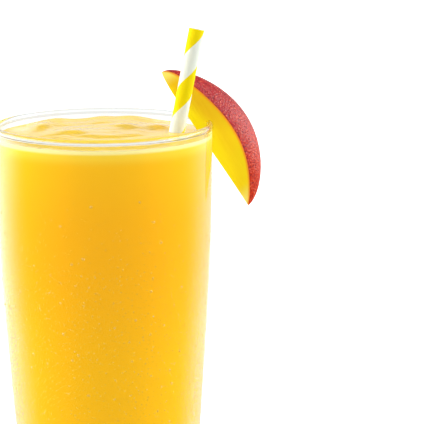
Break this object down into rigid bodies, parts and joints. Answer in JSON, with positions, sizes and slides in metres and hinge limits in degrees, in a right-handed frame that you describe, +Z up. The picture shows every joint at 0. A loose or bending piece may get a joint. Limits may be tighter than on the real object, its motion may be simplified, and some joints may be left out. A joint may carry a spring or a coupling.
{
  "type": "mango smoothie in a glass",
  "caption": "Tall clear tumbler filled with a thick yellow fruit smoothie, with a striped paper straw standing in it and a mango wedge hung on the rim.",
  "frame": {"origin": "centre of the glass's flat underside, on the glass's axis", "axes": "+Z up along the glass's axis; the front of the drink faces -Y; the fruit wedge hangs on the rim towards +X"},
  "size_m": [0.1042, 0.084, 0.1861],
  "materials": {
    "glass": "clear, thin film of fine water drops outside",
    "smoothie": "opaque thick blended fruit, softly glossy",
    "straw": "matte paper with yellow and white stripes wound round it",
    "mango_slice": "moist yellow flesh with a thin speckled red rind"
  },
  "bodies": {
    "root": {"glass": "glass", "smoothie": "smoothie", "straw": "straw", "mango_slice": "mango_slice"}
  },
  "joints": []
}
